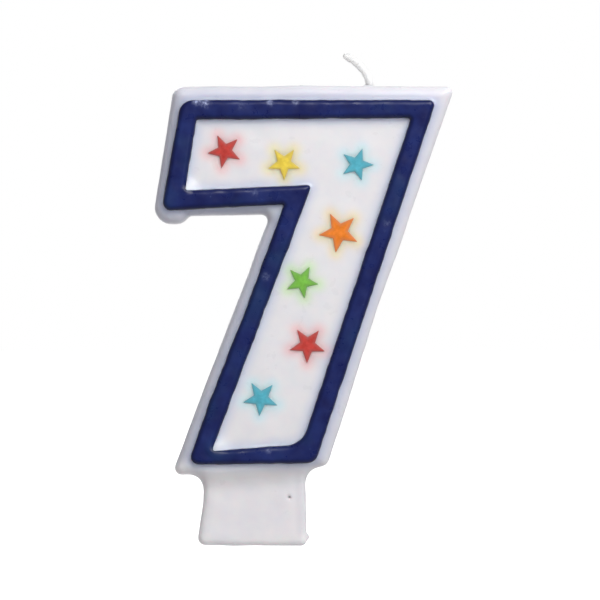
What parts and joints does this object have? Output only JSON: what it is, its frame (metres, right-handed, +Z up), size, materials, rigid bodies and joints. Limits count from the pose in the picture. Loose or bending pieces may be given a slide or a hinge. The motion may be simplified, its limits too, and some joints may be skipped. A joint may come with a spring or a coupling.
{
  "type": "number birthday candle",
  "caption": "Moulded wax birthday candle in the shape of the numeral seven, with a raised coloured outline, printed stars, a cotton wick and a flat tab for the cake.",
  "frame": {"origin": "middle of the flat lower end of the tab", "axes": "+Z up the candle, -Y out of the decorated front, +X to the right as the numeral is read"},
  "size_m": [0.0534, 0.0092, 0.0887],
  "materials": {
    "white_wax": "satin white paraffin wax, slightly translucent",
    "navy_coat": "glossy navy coloured wax",
    "red_print": "satin red print",
    "yellow_print": "satin yellow print",
    "blue_print": "satin light blue print",
    "orange_print": "satin orange print",
    "green_print": "satin green print",
    "wick_cotton": "braided cotton soaked in wax"
  },
  "bodies": {
    "candle": {"wax_body": "white_wax", "outline_coat": "navy_coat", "star_red_upper": "red_print", "star_yellow": "yellow_print", "star_blue_upper": "blue_print", "star_orange": "orange_print", "star_green": "green_print", "star_red_lower": "red_print", "star_blue_lower": "blue_print", "wick_core": "wick_cotton"},
    "wick_end": {"wick_tip": "wick_cotton"}
  },
  "joints": [
    {"name": "wick_bend", "type": "hinge", "parent": "candle", "child": "wick_end", "pos_m": [0.0212, 0, 0.08345], "axis": [0, 1, 0], "range_deg": [-40, 110]}
  ]
}
